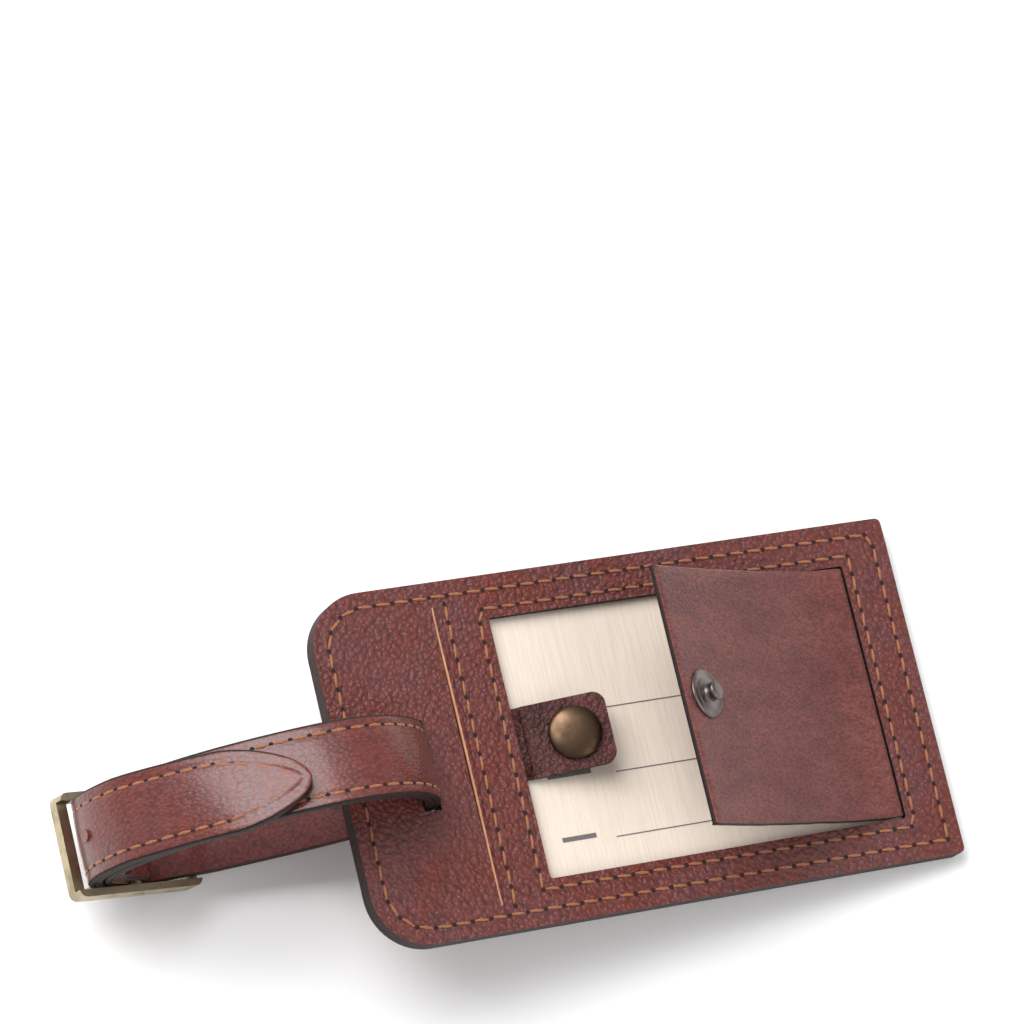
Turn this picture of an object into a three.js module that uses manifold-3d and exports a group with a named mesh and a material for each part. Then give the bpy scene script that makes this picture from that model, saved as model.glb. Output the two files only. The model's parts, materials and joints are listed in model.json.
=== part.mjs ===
// Leather luggage tag: a stitched panel with a window pocket for an address card, a snap flap over the
// window, and a buckled strap that loops through a slot in the panel's rounded end.
//
// Millimetres, +Z up. Everything is drawn in the tag's own frame and then tilted as it lies at rest:
// x runs from the strap end (0) to the far end, y across the tag, and z = 0 is the front leather's face.
// The loop of the strap holds the strap end up, and the far end's lower edge lies on the ground.

import * as THREE from 'three';
import { mergeVertices } from 'three/addons/utils/BufferGeometryUtils.js';
import Module from 'manifold-3d';

// ---- driving dimensions ------------------------------------------------------------------------

const TAG_LENGTH = 122;
const TAG_WIDTH = 68;
const STRAP_END_RADIUS = 11;
const FAR_END_RADIUS = 1.2;
const FRONT_LEATHER = 1.6;
const FILLER = 0.8;
const BACK_LEATHER = 1.4;
const GLUE_LINE = 0.05;

const SEAM_INSET = 3;
const THREAD_WIDTH = 0.55;
const THREAD_HEIGHT = 0.25;
const THREAD_LIFT = 0.02;

const WINDOW_LEFT = 36;
const WINDOW_RIGHT = 111.4;
const WINDOW_HALF_HEIGHT = 25.5;
const WINDOW_CORNER_RADIUS = 0.6;
const WINDOW_SEAM_LEFT = 34;
const WINDOW_SEAM_RIGHT = 113.1;
const WINDOW_SEAM_HALF_HEIGHT = 27.35;
const SLIT_X = 25.1;
const SLIT_HALF_LENGTH = 29;
const SLIT_OPENING = 0.8;
const SLIT_SEAM_X = 27.8;

const CARD_LENGTH = 85;
const CARD_WIDTH = 54;
const CARD_THICKNESS = 0.4;
const CARD_LEFT = 27.5;
const FILM_THICKNESS = 0.25;
const POCKET_LEFT = 22;
const POCKET_RIGHT = 113.6;
const POCKET_HALF_WIDTH = 27.25;

const STRAP_WIDTH = 16;
const STRAP_THICKNESS = 2.6;
const STRAP_CENTRE_Y = -0.6;
const SLOT_X = 16.2;
const SLOT_OPENING = 3.4;
const SLOT_SIDE_CLEARANCE = 0.7;
const PLY_GAP = 0.06;
const LAYER_GAP = 0.45;
const TIP_HINGE_AT = [-38.5, -7.5];
const TIP_END_AT = [-11.5, 14.3];
const SPARE_HOLE_AT = [-41.4, -15.5];

const TAB_WIDTH = 14;
const TAB_LENGTH = 17.3;
const TAB_THICKNESS = 1.3;
const TAB_CENTRE_Y = 0.7;
const TAB_REST_ANGLE = 16;
const TAB_ROOT_CLEARANCE = 1;
const TAB_ANCHOR_LENGTH = 4.6;
const TAB_ANCHOR_THICKNESS = 0.7;
const SNAP_FROM_TAB_TIP = 7;

const FLAP_HALF_WIDTH = 25.2;
const FLAP_THICKNESS = 1.4;
const FLAP_ROOT_THICKNESS = 0.5;
const STUD_FROM_FREE_EDGE = 7;

const CAP_RADIUS = 5.1;
const CAP_HEIGHT = 2;
const STUD_RADIUS = 4.7;
const STUD_HEIGHT = 3;

const BUCKLE_CENTRE = [-34.4, -26.6];
const BUCKLE_ANGLE = 16;
const BUCKLE_LENGTH = 27.6;
const BUCKLE_WIDTH = 20;
const BUCKLE_END_BAR = 2.2;
const BUCKLE_RAIL = 1.4;
const BUCKLE_INNER_SIDE = -1.5;
const BUCKLE_OUTER_SIDE = 2.4;
const BUCKLE_BAR_INNER_SIDE = 0.2;
const PIN_RADIUS = 1.1;
const PIN_CLEARANCE = 0.15;

const LEATHER_COLOUR = 0x5a2a26;
const DARK_LEATHER_COLOUR = 0x3d1719;
const LINING_COLOUR = 0x6b3a30;
const BOARD_COLOUR = 0x8b6a4c;
const THREAD_COLOUR = 0xc07a48;
const PAPER_COLOUR = 0xe9dcc4;
const FILM_COLOUR = 0xf2f2f0;
const BRONZE_COLOUR = 0x6e5538;
const NICKEL_COLOUR = 0x6c6664;
const BRASS_COLOUR = 0x9b8658;

// ---- materials and scene graph -----------------------------------------------------------------

const wasm = await Module();
wasm.setup();

const tag = new THREE.Group();
const rad = THREE.MathUtils.degToRad;

function finish(color, roughness, metalness = 0) {
  return new THREE.MeshStandardMaterial({ color, roughness, metalness });
}

function addPiece(parent, name, geometry, material) {
  const mesh = new THREE.Mesh(geometry, material);
  mesh.name = name;
  parent.add(mesh);
  return mesh;
}

// ---- solids ------------------------------------------------------------------------------------

function toSolid(geometry) {
  const bare = geometry.clone();
  bare.deleteAttribute('normal');
  bare.deleteAttribute('uv');
  const merged = mergeVertices(bare, 1e-4);
  return new wasm.Manifold(new wasm.Mesh({
    numProp: 3,
    vertProperties: new Float32Array(merged.attributes.position.array),
    triVerts: new Uint32Array(merged.index.array),
  }));
}

function toGeometry(solid) {
  const mesh = solid.getMesh();
  const geometry = new THREE.BufferGeometry();
  geometry.setAttribute('position', new THREE.BufferAttribute(new Float32Array(mesh.vertProperties), 3));
  geometry.setIndex(new THREE.BufferAttribute(new Uint32Array(mesh.triVerts), 1));
  geometry.computeVertexNormals();
  return geometry;
}

function cut(geometry, ...tools) {
  return toGeometry(tools.reduce((solid, tool) => solid.subtract(toSolid(tool)), toSolid(geometry)));
}

function join(...geometries) {
  const solids = geometries.map(toSolid);
  return toGeometry(solids.slice(1).reduce((whole, next) => whole.add(next), solids[0]));
}

function box(x0, x1, y0, y1, z0, z1) {
  const geometry = new THREE.BoxGeometry(x1 - x0, y1 - y0, z1 - z0);
  return geometry.translate((x0 + x1) / 2, (y0 + y1) / 2, (z0 + z1) / 2);
}

function sheet(shape, bottom, top, curveSegments = 8) {
  const geometry = new THREE.ExtrudeGeometry(shape, { depth: top - bottom, bevelEnabled: false, curveSegments });
  return geometry.translate(0, 0, bottom);
}

// A turned piece about +Z from [radius, height] pairs that close on the axis or on themselves.
function turned(profile, segments = 32) {
  return new THREE.LatheGeometry(profile.map(([r, z]) => new THREE.Vector2(r, z)), segments).rotateX(Math.PI / 2);
}

// ---- outlines of the panel -----------------------------------------------------------------------

// A rectangle with its own corner radius at the strap end (left) and at the far end (right).
function outline(path, left, right, halfWidth, leftRadius, rightRadius) {
  path.moveTo(left + leftRadius, -halfWidth);
  path.lineTo(right - rightRadius, -halfWidth);
  path.absarc(right - rightRadius, rightRadius - halfWidth, rightRadius, -Math.PI / 2, 0);
  path.absarc(right - rightRadius, halfWidth - rightRadius, rightRadius, 0, Math.PI / 2);
  path.lineTo(left + leftRadius, halfWidth);
  path.absarc(left + leftRadius, halfWidth - leftRadius, leftRadius, Math.PI / 2, Math.PI);
  path.absarc(left + leftRadius, leftRadius - halfWidth, leftRadius, Math.PI, Math.PI * 1.5);
  return path;
}

function tagOutline() {
  return outline(new THREE.Shape(), 0, TAG_LENGTH, TAG_WIDTH / 2, STRAP_END_RADIUS, FAR_END_RADIUS);
}

function strapSlot() {
  const half = STRAP_WIDTH / 2 + SLOT_SIDE_CLEARANCE;
  const slot = new THREE.Path();
  slot.moveTo(SLOT_X - SLOT_OPENING / 2, STRAP_CENTRE_Y - half);
  slot.lineTo(SLOT_X + SLOT_OPENING / 2, STRAP_CENTRE_Y - half);
  slot.lineTo(SLOT_X + SLOT_OPENING / 2, STRAP_CENTRE_Y + half);
  slot.lineTo(SLOT_X - SLOT_OPENING / 2, STRAP_CENTRE_Y + half);
  return slot;
}

function cardSlit() {
  const slit = new THREE.Path();
  slit.moveTo(SLIT_X, -SLIT_HALF_LENGTH);
  slit.quadraticCurveTo(SLIT_X + SLIT_OPENING, 0, SLIT_X, SLIT_HALF_LENGTH);
  slit.quadraticCurveTo(SLIT_X - SLIT_OPENING, 0, SLIT_X, -SLIT_HALF_LENGTH);
  return slit;
}

const frontBottom = -FRONT_LEATHER;
const fillerTop = frontBottom - GLUE_LINE;
const fillerBottom = fillerTop - FILLER;
const backTop = fillerBottom - GLUE_LINE;
const backBottom = backTop - BACK_LEATHER;

// ---- panel ---------------------------------------------------------------------------------------

function frontPanel() {
  const shape = tagOutline();
  shape.holes.push(strapSlot(), cardSlit());
  shape.holes.push(outline(new THREE.Path(), WINDOW_LEFT, WINDOW_RIGHT, WINDOW_HALF_HEIGHT,
    WINDOW_CORNER_RADIUS, WINDOW_CORNER_RADIUS));
  const tabRecess = box(
    WINDOW_LEFT - TAB_ANCHOR_LENGTH - 0.3, WINDOW_LEFT + 1,
    TAB_CENTRE_Y - TAB_WIDTH / 2 - 0.3, TAB_CENTRE_Y + TAB_WIDTH / 2 + 0.3,
    frontBottom - 1, frontBottom + TAB_ANCHOR_THICKNESS + 0.1);
  return cut(sheet(shape, frontBottom, 0), tabRecess);
}

function fillerFrame() {
  const shape = tagOutline();
  shape.holes.push(strapSlot());
  shape.holes.push(outline(new THREE.Path(), POCKET_LEFT, POCKET_RIGHT, POCKET_HALF_WIDTH, 0.5, 0.5));
  return sheet(shape, fillerBottom, fillerTop);
}

function backPanel() {
  const shape = tagOutline();
  shape.holes.push(strapSlot());
  return sheet(shape, backBottom, backTop);
}

function seamRing(left, right, halfWidth, leftRadius, rightRadius) {
  const half = THREAD_WIDTH / 2;
  const shape = outline(new THREE.Shape(), left - half, right + half, halfWidth + half,
    leftRadius + half, rightRadius + half);
  shape.holes.push(outline(new THREE.Path(), left + half, right - half, halfWidth - half,
    leftRadius - half, rightRadius - half));
  return sheet(shape, THREAD_LIFT, THREAD_LIFT + THREAD_HEIGHT, 5);
}

const leather = finish(LEATHER_COLOUR, 0.5);
const darkLeather = finish(DARK_LEATHER_COLOUR, 0.45);
const lining = finish(LINING_COLOUR, 0.75);
const thread = finish(THREAD_COLOUR, 0.7);

addPiece(tag, 'front_panel', frontPanel(), leather);
addPiece(tag, 'filler_frame', fillerFrame(), finish(BOARD_COLOUR, 0.9));
addPiece(tag, 'back_panel', backPanel(), lining);
addPiece(tag, 'perimeter_thread', seamRing(SEAM_INSET, TAG_LENGTH - SEAM_INSET, TAG_WIDTH / 2 - SEAM_INSET,
  STRAP_END_RADIUS - SEAM_INSET, 0.5), thread);
addPiece(tag, 'window_thread', seamRing(WINDOW_SEAM_LEFT, WINDOW_SEAM_RIGHT, WINDOW_SEAM_HALF_HEIGHT,
  0.5, 0.5), thread);
const slitSeamEnd = TAG_WIDTH / 2 - SEAM_INSET - THREAD_WIDTH;
addPiece(tag, 'slit_thread', box(SLIT_SEAM_X - THREAD_WIDTH / 2, SLIT_SEAM_X + THREAD_WIDTH / 2,
  -slitSeamEnd, slitSeamEnd, THREAD_LIFT, THREAD_LIFT + THREAD_HEIGHT), thread);

// The clear film lies under the window, and the card behind the film.
addPiece(tag, 'window_film', box(SLIT_SEAM_X, WINDOW_SEAM_RIGHT, -POCKET_HALF_WIDTH + 0.25, POCKET_HALF_WIDTH - 0.25,
  fillerTop - FILM_THICKNESS, fillerTop), finish(FILM_COLOUR, 0.1));
const cardTop = fillerTop - FILM_THICKNESS - 0.1;
addPiece(tag, 'address_card', box(CARD_LEFT, CARD_LEFT + CARD_LENGTH, -CARD_WIDTH / 2, CARD_WIDTH / 2,
  cardTop - CARD_THICKNESS, cardTop), finish(PAPER_COLOUR, 0.8));

// ---- snap tab --------------------------------------------------------------------------------------

const SHANK_RADIUS = 1.5;
const SHANK_HOLE_RADIUS = 1.8;
const SOCKET_RADIUS = 4.2;
const SOCKET_HEIGHT = 1.4;
const SEAT_GAP = 0.05;

// Leaf along +x from the hinge line, lying between z = -half and z = +half of its thickness.
function tabLeaf() {
  const half = TAB_WIDTH / 2;
  const shape = outline(new THREE.Shape(), 0, TAB_LENGTH, half, 0.3, 2.4);
  const hole = new THREE.Path();
  hole.absarc(TAB_LENGTH - SNAP_FROM_TAB_TIP, 0, SHANK_HOLE_RADIUS, 0, Math.PI * 2);
  shape.holes.push(hole);
  const leaf = sheet(shape, -TAB_THICKNESS / 2, TAB_THICKNESS / 2);
  // The root is skived thin so that it folds down beside the window's edge.
  return cut(leaf,
    box(-1, 1.2, -half - 1, half + 1, TAB_ANCHOR_THICKNESS / 2, 2),
    box(-1, 1.2, -half - 1, half + 1, -2, -TAB_ANCHOR_THICKNESS / 2));
}

function snapCap() {
  const seat = TAB_THICKNESS / 2 + SEAT_GAP;
  const wall = 0.8;
  const profile = [[0, -seat - 0.5], [SHANK_RADIUS, -seat - 0.5], [SHANK_RADIUS, seat], [CAP_RADIUS - 0.3, seat],
    [CAP_RADIUS, seat + 0.3], [CAP_RADIUS, seat + wall]];
  const dome = 6;
  for (let i = 1; i <= dome; i += 1) {
    const angle = (i / dome) * Math.PI / 2;
    profile.push([CAP_RADIUS * Math.cos(angle), seat + wall + (CAP_HEIGHT - wall) * Math.sin(angle)]);
  }
  profile[profile.length - 1][0] = 0;
  return turned(profile);
}

function snapSocket() {
  const top = -TAB_THICKNESS / 2 - SEAT_GAP;
  const bottom = top - SOCKET_HEIGHT;
  return turned([[SHANK_HOLE_RADIUS, top], [SHANK_HOLE_RADIUS, top - 0.6], [2.3, bottom + 0.2], [2.5, bottom],
    [SOCKET_RADIUS - 0.4, bottom], [SOCKET_RADIUS, bottom + 0.4], [SOCKET_RADIUS, top], [SHANK_HOLE_RADIUS, top]], 28);
}

addPiece(tag, 'tab_anchor', box(WINDOW_LEFT - TAB_ANCHOR_LENGTH, WINDOW_LEFT - 0.1,
  TAB_CENTRE_Y - TAB_WIDTH / 2, TAB_CENTRE_Y + TAB_WIDTH / 2,
  frontBottom, frontBottom + TAB_ANCHOR_THICKNESS), darkLeather);

const tab = new THREE.Group();
tab.position.set(WINDOW_LEFT + TAB_ROOT_CLEARANCE, TAB_CENTRE_Y, frontBottom + TAB_ANCHOR_THICKNESS / 2 + 0.1);
tab.rotation.y = -rad(TAB_REST_ANGLE);
tag.add(tab);
addPiece(tab, 'snap_tab', tabLeaf(), darkLeather);
const snapX = TAB_LENGTH - SNAP_FROM_TAB_TIP;
addPiece(tab, 'snap_cap', snapCap(), finish(BRONZE_COLOUR, 0.35, 0.9)).position.x = snapX;
addPiece(tab, 'snap_socket', snapSocket(), finish(NICKEL_COLOUR, 0.4, 0.9)).position.x = snapX;

// ---- flap ------------------------------------------------------------------------------------------

// The flap's outer face in the xz plane, from the fold at the window's right edge to the free edge.
const flapFace = new THREE.CatmullRomCurve3([
  [WINDOW_RIGHT - 0.2, 0.05], [108, 0.55], [103, 2], [98, 4.1], [93, 6.6], [87, 9.7], [81, 13], [75, 16.4],
  [69.6, 19.7], [64.4, 23.1], [59.8, 26.3],
].map(([x, z]) => new THREE.Vector3(x, 0, z)), false, 'centripetal');

// A closed strip of leather: `face` gives the point and the unit normal of the outer face at t.
function strip(stations, face, halfWidthAt, outerAt, innerAt, centreAt) {
  const positions = [];
  const index = [];
  for (let i = 0; i < stations.length; i += 1) {
    const t = stations[i];
    const { point, normal } = face(t);
    const half = halfWidthAt(t);
    const centre = centreAt(t);
    for (const [side, depth] of [[-1, outerAt(t)], [1, outerAt(t)], [1, innerAt(t)], [-1, innerAt(t)]]) {
      positions.push(point.x + normal.x * depth, centre + side * half, point.z + normal.z * depth);
    }
    if (i > 0) {
      const a = (i - 1) * 4;
      for (let k = 0; k < 4; k += 1) {
        const m = (k + 1) % 4;
        // Both broad faces are split along the same diagonal, so that plies laid together stay parallel.
        if (k === 2) index.push(a + k, a + m, a + 4 + m, a + k, a + 4 + m, a + 4 + k);
        else index.push(a + k, a + m, a + 4 + k, a + m, a + 4 + m, a + 4 + k);
      }
    }
  }
  const last = (stations.length - 1) * 4;
  index.push(0, 2, 1, 0, 3, 2, last, last + 1, last + 2, last, last + 2, last + 3);
  const geometry = new THREE.BufferGeometry();
  geometry.setAttribute('position', new THREE.BufferAttribute(new Float32Array(positions), 3));
  geometry.setIndex(index);
  const solid = toSolid(geometry);
  if (solid.volume() > 0) return geometry;
  for (let i = 0; i < index.length; i += 3) [index[i], index[i + 1]] = [index[i + 1], index[i]];
  geometry.setIndex(index);
  return geometry;
}

// Point and outward normal of a curve in the xz plane; the normal is on the left of the way it runs.
function curveFrame(curve, u) {
  const point = curve.getPointAt(u);
  const tangent = curve.getTangentAt(u);
  return { point, normal: new THREE.Vector3(-tangent.z, 0, tangent.x).normalize() };
}

const flapUp = (t) => {
  const { point, normal } = curveFrame(flapFace, t);
  return { point, normal: normal.negate() };
};
const flapLength = flapFace.getLength();
const skive = (t) => Math.min(1, t * flapLength / 4);
const evenly = (count) => Array.from({ length: count }, (_, i) => i / (count - 1));
const flapLeather = strip(evenly(26), flapUp, () => FLAP_HALF_WIDTH, () => 0,
  (t) => -(FLAP_ROOT_THICKNESS + (FLAP_THICKNESS - FLAP_ROOT_THICKNESS) * skive(t)), () => 0);

const studSeat = flapUp(1 - STUD_FROM_FREE_EDGE / flapLength);
const studAngle = Math.atan2(studSeat.normal.x, studSeat.normal.z);
const RIVET_SHANK_RADIUS = 1.2;
const RIVET_HOLE_RADIUS = 1.5;

function onFlap(object) {
  object.position.set(studSeat.point.x, 0, studSeat.point.z);
  object.rotation.y = studAngle;
  return object;
}

function flapWithHole() {
  const drill = new THREE.CylinderGeometry(RIVET_HOLE_RADIUS, RIVET_HOLE_RADIUS, 8, 24).rotateX(Math.PI / 2);
  drill.rotateY(studAngle).translate(studSeat.point.x, 0, studSeat.point.z);
  return cut(flapLeather, drill);
}

// The stud: flange on the flap's outer face, necked post, and a blind hole for the rivet's shank.
// It sits a little proud, because the leather under it is slightly curved.
function snapStud() {
  const seat = 0.12;
  const blind = seat + 1;
  return turned([[0, blind], [RIVET_SHANK_RADIUS + 0.15, blind], [RIVET_SHANK_RADIUS + 0.15, seat], [STUD_RADIUS, seat],
    [STUD_RADIUS, seat + 0.25], [STUD_RADIUS - 0.3, seat + 0.5], [2.6, seat + 0.6], [1.75, seat + 0.9],
    [1.55, seat + 1.6], [1.9, STUD_HEIGHT - 0.5], [1.5, STUD_HEIGHT], [0, STUD_HEIGHT]], 28);
}

function studRivet() {
  const seat = -FLAP_THICKNESS - 0.15;
  return turned([[0, seat - 0.5], [3.2, seat - 0.5], [3.6, seat - 0.25], [3.6, seat], [RIVET_SHANK_RADIUS, seat],
    [RIVET_SHANK_RADIUS, 0.9], [0, 0.9]], 28);
}

addPiece(tag, 'flap', flapWithHole(), leather);
onFlap(addPiece(tag, 'snap_stud', snapStud(), finish(NICKEL_COLOUR, 0.35, 0.9)));
onFlap(addPiece(tag, 'stud_rivet', studRivet(), finish(NICKEL_COLOUR, 0.4, 0.9)));

// ---- strap -----------------------------------------------------------------------------------------

// Buckle coordinates: `along` runs from the outer bar's end to the bar nearest the tag, `out` leaves the loop.
const along = [Math.cos(rad(BUCKLE_ANGLE)), -Math.sin(rad(BUCKLE_ANGLE))];
const out = [-Math.sin(rad(BUCKLE_ANGLE)), -Math.cos(rad(BUCKLE_ANGLE))];
const buckle = (a, o) => [BUCKLE_CENTRE[0] + a * along[0] + o * out[0], BUCKLE_CENTRE[1] + a * along[1] + o * out[1]];

// The middle of the strap's thickness, as [x, z]. It starts at the folded tail inside the loop, wraps the pin,
// climbs the upper leg, drops through the tag's slot, and runs along the lower leg back to the buckle.
const foldRadius = PIN_RADIUS + PIN_CLEARANCE + 0.05;
const onPin = (turn) => buckle(foldRadius * Math.cos(rad(turn)), foldRadius * Math.sin(rad(turn)));
const fold = [-90, -60, -30, 0, 30, 60, 90].map(onPin);
const upperLeg = [
  [-38.6, -25.4], [-40.4, -22.8], [-41.3, -19.4], [-41.4, -15.8], [-40.6, -12.2], [-39.1, -8.6], [-36.9, -5],
  [-34, -1.3], [-30.5, 2.6], [-26.5, 6.2], [-22, 9.4], [-17, 12.1], [-12, 14.1], [-7, 15.5], [-2, 16], [3, 14.9],
  [7.5, 12.4], [11.4, 8.9], [14.2, 5], [15.8, 1.6],
];
const lowerLeg = [
  [SLOT_X, -2], [16, -5.5], [14.6, -9.5], [11.5, -13.6], [6.5, -17.6], [0, -21.3], [-7, -24.4], [-13.5, -26.8],
  buckle(14.6, -2), buckle(11.6, -1.6), buckle(7.8, 0.4), buckle(4.2, 2.9), buckle(2, 3.95),
];

const flat = (points) =>
  new THREE.CatmullRomCurve3(points.map(([x, z]) => new THREE.Vector3(x, 0, z)), false, 'centripetal');
const upperCurve = flat([onPin(60), onPin(90), buckle(-2.4, 0.75), ...upperLeg]);

// A point beside the upper leg: `away` is how far outside its middle line, or inside it if negative.
const beside = (u, away) => {
  const { point, normal } = curveFrame(upperCurve, u);
  return [point.x + normal.x * away, point.z + normal.z * away];
};

// Where, from 0 to 1 along a curve, it passes nearest to a point in the xz plane.
function nearest(curve, [x, z], from = 0, to = 1) {
  let best = from;
  let least = Infinity;
  for (let u = from; u <= to; u += 0.001) {
    const p = curve.getPointAt(u);
    const distance = (p.x - x) ** 2 + (p.z - z) ** 2;
    if (distance < least) [least, best] = [distance, u];
  }
  return best;
}

// The free end lies on the outside of the upper leg, one strap thickness and a small gap away from it.
// The folded tail is a single ply, laid back against the inside of the same leg.
const overlap = STRAP_THICKNESS + LAYER_GAP;
const tailInside = -(STRAP_THICKNESS / 2 + LAYER_GAP);
const overPin = nearest(upperCurve, onPin(90));
const tipHinge = nearest(upperCurve, TIP_HINGE_AT);
const tipEnd = nearest(upperCurve, TIP_END_AT);
const between = (from, to, count) => Array.from({ length: count }, (_, i) => from + (to - from) * i / (count - 1));
const mainCurve = flat([
  beside(0.16, tailInside), beside(0.12, tailInside), beside(0.09, tailInside - 0.05), ...fold, buckle(-2.4, 0.75),
  ...upperLeg, ...lowerLeg, ...between(overPin, tipHinge, 30).map((u) => beside(u, overlap)),
]);
const tipCurve = flat(between(tipHinge, tipEnd, 12).map((u) => beside(u, overlap)));

// The upper part of the loop leans a little to one side; the lean fades out towards the slot and the buckle.
const LEAN = 0.2;
function leaned(geometry) {
  const position = geometry.attributes.position;
  for (let i = 0; i < position.count; i += 1) {
    const z = position.getZ(i);
    const share = THREE.MathUtils.smoothstep(z, -4, 14);
    position.setZ(i, z - LEAN * share * (position.getY(i) - STRAP_CENTRE_Y));
  }
  return geometry;
}

function ply(curve, stations, outer, inner, halfWidthAt, centreAt) {
  return strip(stations, (t) => curveFrame(curve, t), halfWidthAt, () => outer, () => inner, centreAt);
}

// Places to section a curve: close together where it bends and further apart where it runs straight.
function sections(curve, bend, reach) {
  const steps = 1600;
  const length = curve.getLength();
  const places = [0];
  let turned0 = 0;
  let before = curve.getTangentAt(0);
  for (let i = 1; i < steps; i += 1) {
    const tangent = curve.getTangentAt(i / steps);
    turned0 += tangent.angleTo(before);
    before = tangent;
    if (turned0 >= rad(bend) || (i / steps - places[places.length - 1]) * length >= reach) {
      places.push(i / steps);
      turned0 = 0;
    }
  }
  if ((1 - places[places.length - 1]) * length < 0.2) places.pop();
  return [...places, 1];
}

const half = STRAP_THICKNESS / 2;
const faceOuter = half;
const faceInner = PLY_GAP / 2;
const liningOuter = -PLY_GAP / 2;
const liningInner = -half;
const fullWidth = () => STRAP_WIDTH / 2;
const straight = () => STRAP_CENTRE_Y;
const liningStart = nearest(mainCurve, upperLeg[1], 0.05, 0.3);

// The free end's point: straight sides that close in two arcs over the last stretch.
const POINT_LENGTH = 15;
const tipLength = tipCurve.getLength();
const pointed = (t) => {
  const left = (1 - t) * tipLength;
  if (left > POINT_LENGTH) return STRAP_WIDTH / 2;
  const w = left / POINT_LENGTH;
  return Math.max(0.5, STRAP_WIDTH / 2 * Math.sqrt(1 - (1 - w) ** 1.75) * (0.86 + 0.14 * w));
};
const TIP_SIDESTEP = -2;
const drifting = (t) => STRAP_CENTRE_Y + TIP_SIDESTEP * t;

// Holes for the prong, and one spare hole in the free end.
const PRONG_WIDTH = 2;
const placed = (geometry, [x, z]) => geometry.translate(x, STRAP_CENTRE_Y, z);
const foldSlot = placed(new THREE.BoxGeometry(7, 3.2, 5.4).rotateY(rad(BUCKLE_ANGLE)), buckle(0.9, 0));
const prongHole = placed(new THREE.BoxGeometry(7, 3, 5.4).rotateY(rad(BUCKLE_ANGLE)), buckle(4.6, 3.2));
const spareHole = placed(
  new THREE.CylinderGeometry(1.2, 1.2, 4, 16).scale(1, 1, 1.35).rotateZ(Math.PI / 2),
  beside(nearest(upperCurve, SPARE_HOLE_AT), overlap));

const mainSections = sections(mainCurve, 9, 5);
const strapFace = ply(mainCurve, mainSections, faceOuter, faceInner, fullWidth, straight);
addPiece(tag, 'strap_face', cut(leaned(strapFace), foldSlot, prongHole, spareHole), leather);
const strapLining = ply(mainCurve, mainSections.filter((u) => u >= liningStart), liningOuter, liningInner, fullWidth, straight);
addPiece(tag, 'strap_lining', cut(leaned(strapLining), prongHole, spareHole), lining);
const TIP_CUT_GAP = 0.012;
const tipSections = evenly(34).map((t) => TIP_CUT_GAP + (1 - TIP_CUT_GAP) * t);
addPiece(tag, 'strap_tip_face',
  leaned(ply(tipCurve, tipSections, faceOuter, faceInner, pointed, drifting)), leather);
addPiece(tag, 'strap_tip_lining',
  leaned(ply(tipCurve, tipSections, liningOuter, liningInner, pointed, drifting)), lining);

// ---- buckle ----------------------------------------------------------------------------------------

// Drawn with x along the buckle and z out of the loop, then turned into place.
const hardware = new THREE.Group();
hardware.position.set(BUCKLE_CENTRE[0], STRAP_CENTRE_Y, BUCKLE_CENTRE[1]);
hardware.rotation.y = rad(BUCKLE_ANGLE);
tag.add(hardware);

// In the group, +z is the inside of the loop, so `out` distances are negated.
function buckleFrame() {
  const endX = BUCKLE_LENGTH / 2;
  const sideY = BUCKLE_WIDTH / 2;
  const openX = endX - BUCKLE_END_BAR;
  const openY = sideY - BUCKLE_RAIL;
  const shape = outline(new THREE.Shape(), -endX, endX, sideY, 1.6, 1.6);
  shape.holes.push(outline(new THREE.Path(), -openX, openX, openY, 0.5, 0.5));
  const solid = sheet(shape, -BUCKLE_OUTER_SIDE, -BUCKLE_INNER_SIDE, 5);
  const pinHole = new THREE.CylinderGeometry(PIN_RADIUS + 0.05, PIN_RADIUS + 0.05, BUCKLE_WIDTH + 4, 20);
  return cut(solid,
    box(-endX - 1, -openX + 0.01, -openY, openY, -BUCKLE_BAR_INNER_SIDE, 5),
    box(openX - 0.01, endX + 1, -openY, openY, -BUCKLE_BAR_INNER_SIDE, 5),
    pinHole);
}

// The prong's eye turns on the pin; its arm goes out through the strap and rests across the bar.
function prong() {
  const eyeOuter = PIN_RADIUS + PIN_CLEARANCE + 0.9;
  const eye = new THREE.CylinderGeometry(eyeOuter, eyeOuter, PRONG_WIDTH, 20);
  const bore = new THREE.CylinderGeometry(PIN_RADIUS + PIN_CLEARANCE, PIN_RADIUS + PIN_CLEARANCE, PRONG_WIDTH + 2, 20);
  const armPath = new THREE.CatmullRomCurve3([[1.5, -0.9], [3.6, -2.8], [6, -3.9], [9.4, -3.9], [12, -3.4], [14.3, -3.35]]
    .map(([x, z]) => new THREE.Vector3(x, 0, z)));
  const section = new THREE.Shape();
  section.absellipse(0, 0, 0.75, PRONG_WIDTH / 2, 0, Math.PI * 2);
  const arm = new THREE.ExtrudeGeometry(section, { steps: 16, extrudePath: armPath, curveSegments: 5, bevelEnabled: false });
  return cut(join(eye, arm), bore);
}

const brass = finish(BRASS_COLOUR, 0.4, 0.9);
addPiece(hardware, 'buckle_frame', buckleFrame(), brass);
addPiece(hardware, 'buckle_pin', new THREE.CylinderGeometry(PIN_RADIUS, PIN_RADIUS, BUCKLE_WIDTH - 0.2, 20), brass);
addPiece(hardware, 'buckle_prong', prong(), brass);

// ---- resting attitude ------------------------------------------------------------------------------

// The ground touches the far end's lower edge and the lowest of the loop: the strap's hump, the frame and the prong.
const footPoints = [buckle(0, 5.6), buckle(BUCKLE_LENGTH / 2, BUCKLE_OUTER_SIDE), buckle(14.3, 4.31)];
const slopes = footPoints.map(([x, z]) => (backBottom - z) / (TAG_LENGTH - x));
const restTilt = Math.atan(Math.max(...slopes));

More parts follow.
